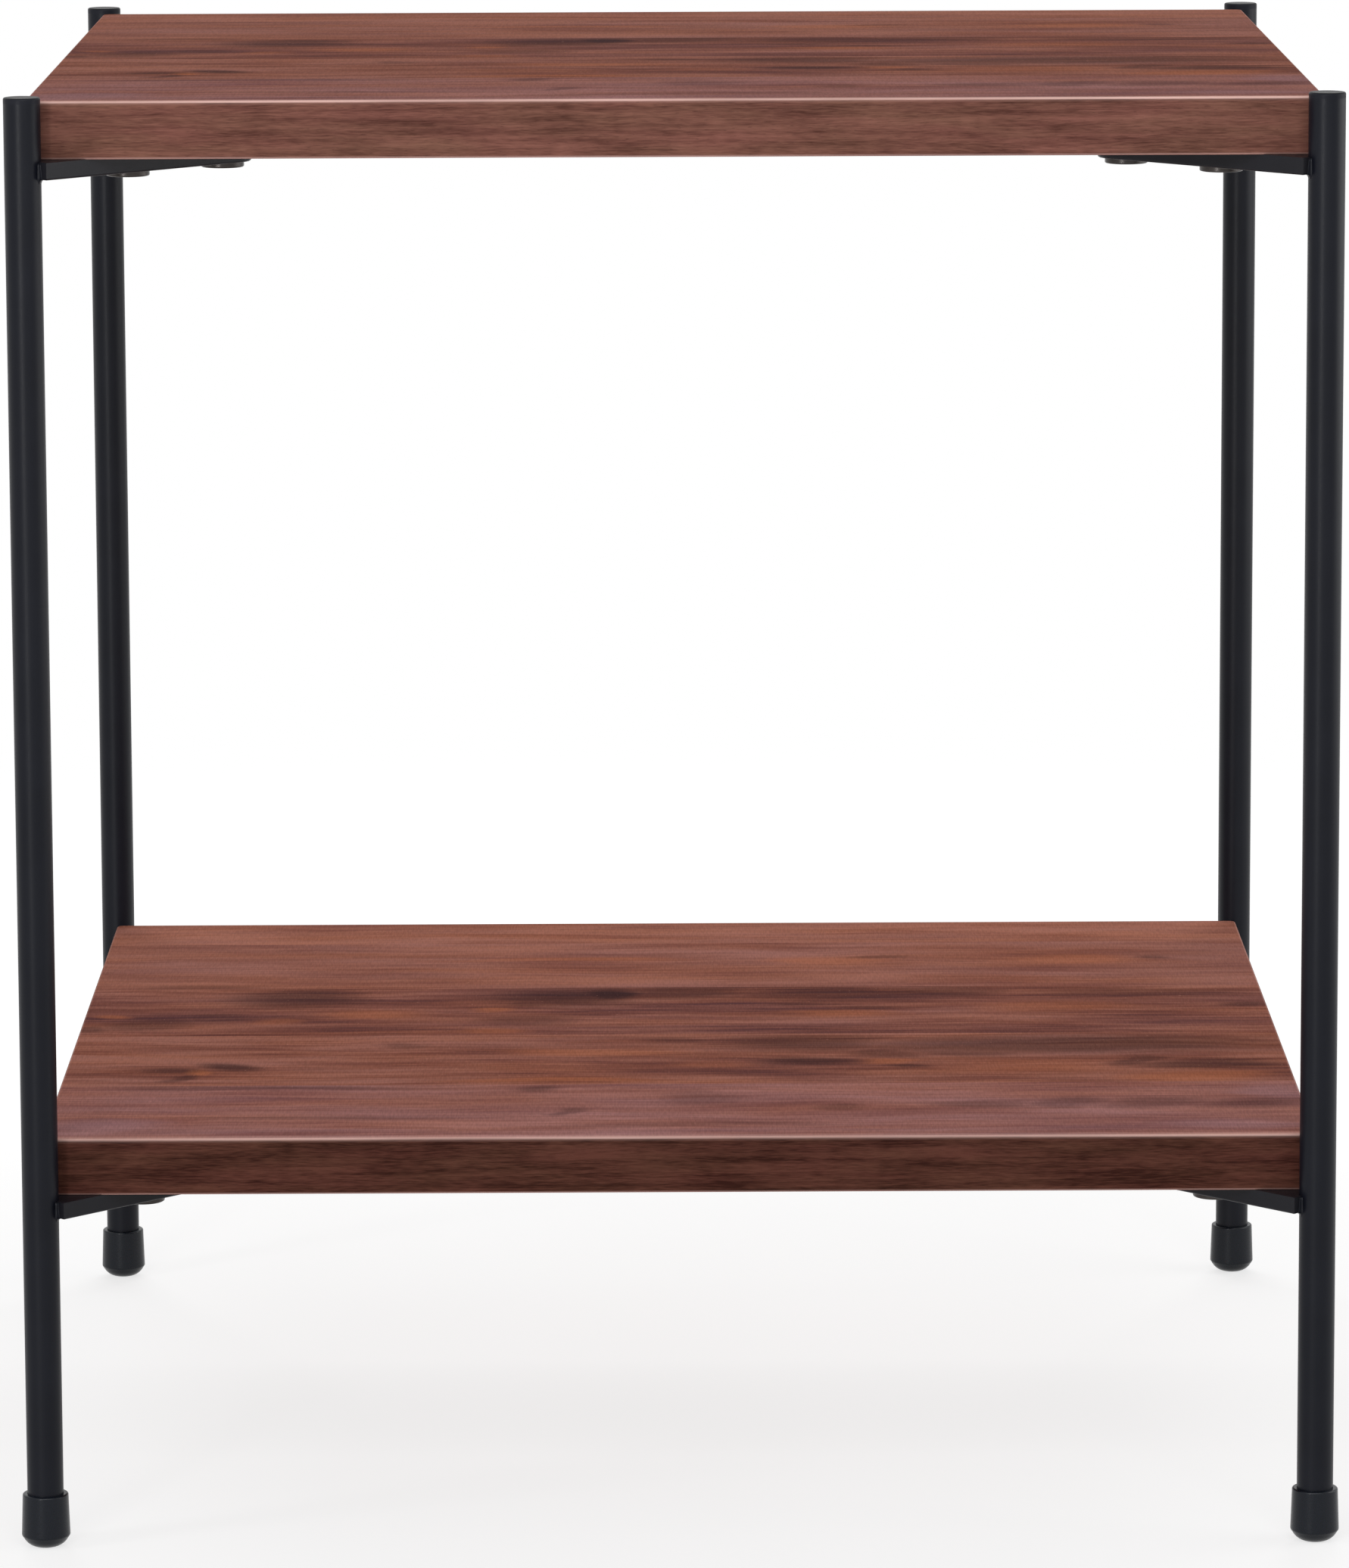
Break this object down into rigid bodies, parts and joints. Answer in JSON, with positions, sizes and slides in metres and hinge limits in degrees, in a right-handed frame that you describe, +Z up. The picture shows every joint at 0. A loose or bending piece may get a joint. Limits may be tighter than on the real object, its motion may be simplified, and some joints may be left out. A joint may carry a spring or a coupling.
{
  "type": "nightstand",
  "caption": "Open bedside table with an upper and a lower walnut-look board held between slim round black metal legs on push-on rubber feet.",
  "frame": {"origin": "on the floor, in the middle of the footprint of the feet", "axes": "+X to the right seen from the front, +Y towards the back, +Z up; the front faces -Y"},
  "size_m": [0.4612, 0.4242, 0.508],
  "materials": {
    "shelf_wood": "satin lacquered walnut with streaky grain",
    "frame_paint": "satin black powder coat",
    "foot_rubber": "smooth moulded black rubber",
    "bolt_black": "black zinc",
    "insert_brass": "machined brass, hidden in the boards"
  },
  "bodies": {
    "root": {"top_shelf": "shelf_wood", "bottom_shelf": "shelf_wood", "leg_front_left": "frame_paint", "leg_cap_front_left": "frame_paint", "foot_front_left": "foot_rubber", "bracket_upper_front_left": "frame_paint", "bolts_upper_front_left": "bolt_black", "inserts_upper_front_left": "insert_brass", "bracket_lower_front_left": "frame_paint", "bolts_lower_front_left": "bolt_black", "inserts_lower_front_left": "insert_brass", "leg_front_right": "frame_paint", "leg_cap_front_right": "frame_paint", "foot_front_right": "foot_rubber", "bracket_upper_front_right": "frame_paint", "bolts_upper_front_right": "bolt_black", "inserts_upper_front_right": "insert_brass", "bracket_lower_front_right": "frame_paint", "bolts_lower_front_right": "bolt_black", "inserts_lower_front_right": "insert_brass", "leg_rear_left": "frame_paint", "leg_cap_rear_left": "frame_paint", "foot_rear_left": "foot_rubber", "bracket_upper_rear_left": "frame_paint", "bolts_upper_rear_left": "bolt_black", "inserts_upper_rear_left": "insert_brass", "bracket_lower_rear_left": "frame_paint", "bolts_lower_rear_left": "bolt_black", "inserts_lower_rear_left": "insert_brass", "leg_rear_right": "frame_paint", "leg_cap_rear_right": "frame_paint", "foot_rear_right": "foot_rubber", "bracket_upper_rear_right": "frame_paint", "bolts_upper_rear_right": "bolt_black", "inserts_upper_rear_right": "insert_brass", "bracket_lower_rear_right": "frame_paint", "bolts_lower_rear_right": "bolt_black", "inserts_lower_rear_right": "insert_brass"}
  },
  "joints": []
}
